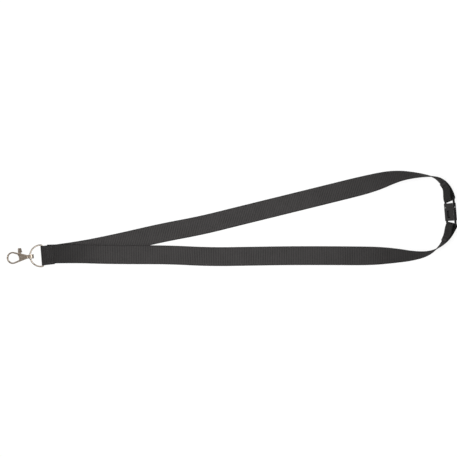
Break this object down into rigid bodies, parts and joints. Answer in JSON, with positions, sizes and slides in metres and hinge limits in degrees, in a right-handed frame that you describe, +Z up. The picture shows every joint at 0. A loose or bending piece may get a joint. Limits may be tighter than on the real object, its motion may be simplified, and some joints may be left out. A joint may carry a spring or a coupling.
{
  "type": "neck lanyard",
  "caption": "Flat neck lanyard of black webbing with a lobster swivel hook on a D-ring and a breakaway side buckle at the neck.",
  "frame": {"origin": "bottom centre of the whole lanyard as it lies on a table", "axes": "+X from the hook to the neck end, +Y across towards the upper strap, +Z up off the table"},
  "size_m": [0.4839, 0.1046, 0.0247],
  "materials": {
    "webbing": "black polyester webbing with fine cross ribs",
    "thread": "black polyester thread",
    "ring_nickel": "nickel-plated steel wire",
    "hook_nickel": "nickel-plated zinc casting",
    "pin_steel": "plain steel pin",
    "spring_steel": "spring wire",
    "buckle_plastic": "black moulded acetal"
  },
  "bodies": {
    "straps": {"upper_strap": "webbing", "lower_strap": "webbing", "ring_stitching": "thread", "buckle_female": "buckle_plastic", "female_end_stitching": "thread"},
    "ring": {"d_ring": "ring_nickel"},
    "eye": {"swivel_eye": "hook_nickel"},
    "hook": {"hook_body": "hook_nickel", "gate_pin": "pin_steel", "gate_spring": "spring_steel"},
    "gate": {"hook_gate": "hook_nickel"},
    "male_half": {"buckle_male": "buckle_plastic", "male_end_stitching": "thread", "upper_strap_neck": "webbing"}
  },
  "joints": [
    {"name": "ring_hinge", "type": "hinge", "parent": "straps", "child": "ring", "pos_m": [-0.203, -0.0395, 0.002], "axis": [-0.0785, 0.9969, 0], "range_deg": [-115, 115]},
    {"name": "eye_hinge", "type": "hinge", "parent": "ring", "child": "eye", "pos_m": [-0.21685, -0.04059, 0.00258], "axis": [-0.0785, 0.9969, 0], "range_deg": [-65, 65]},
    {"name": "hook_swivel", "type": "hinge", "parent": "eye", "child": "hook", "pos_m": [-0.2198, -0.04082, 0.0024], "axis": [0.995, 0.0783, 0.0623], "continuous": true},
    {"name": "gate_hinge", "type": "hinge", "parent": "hook", "child": "gate", "pos_m": [-0.22659, -0.04096, 0.00198], "axis": [-0.0621, -0.0049, 0.9981], "range_deg": [0, 20], "stiffness_Nm_per_rad": 0.005, "springref_deg": -45.84},
    {"name": "buckle_slide", "type": "slide", "parent": "straps", "child": "male_half", "axis": [-0.0837, 0.9965, 0], "range_m": [0, 0.012]}
  ]
}
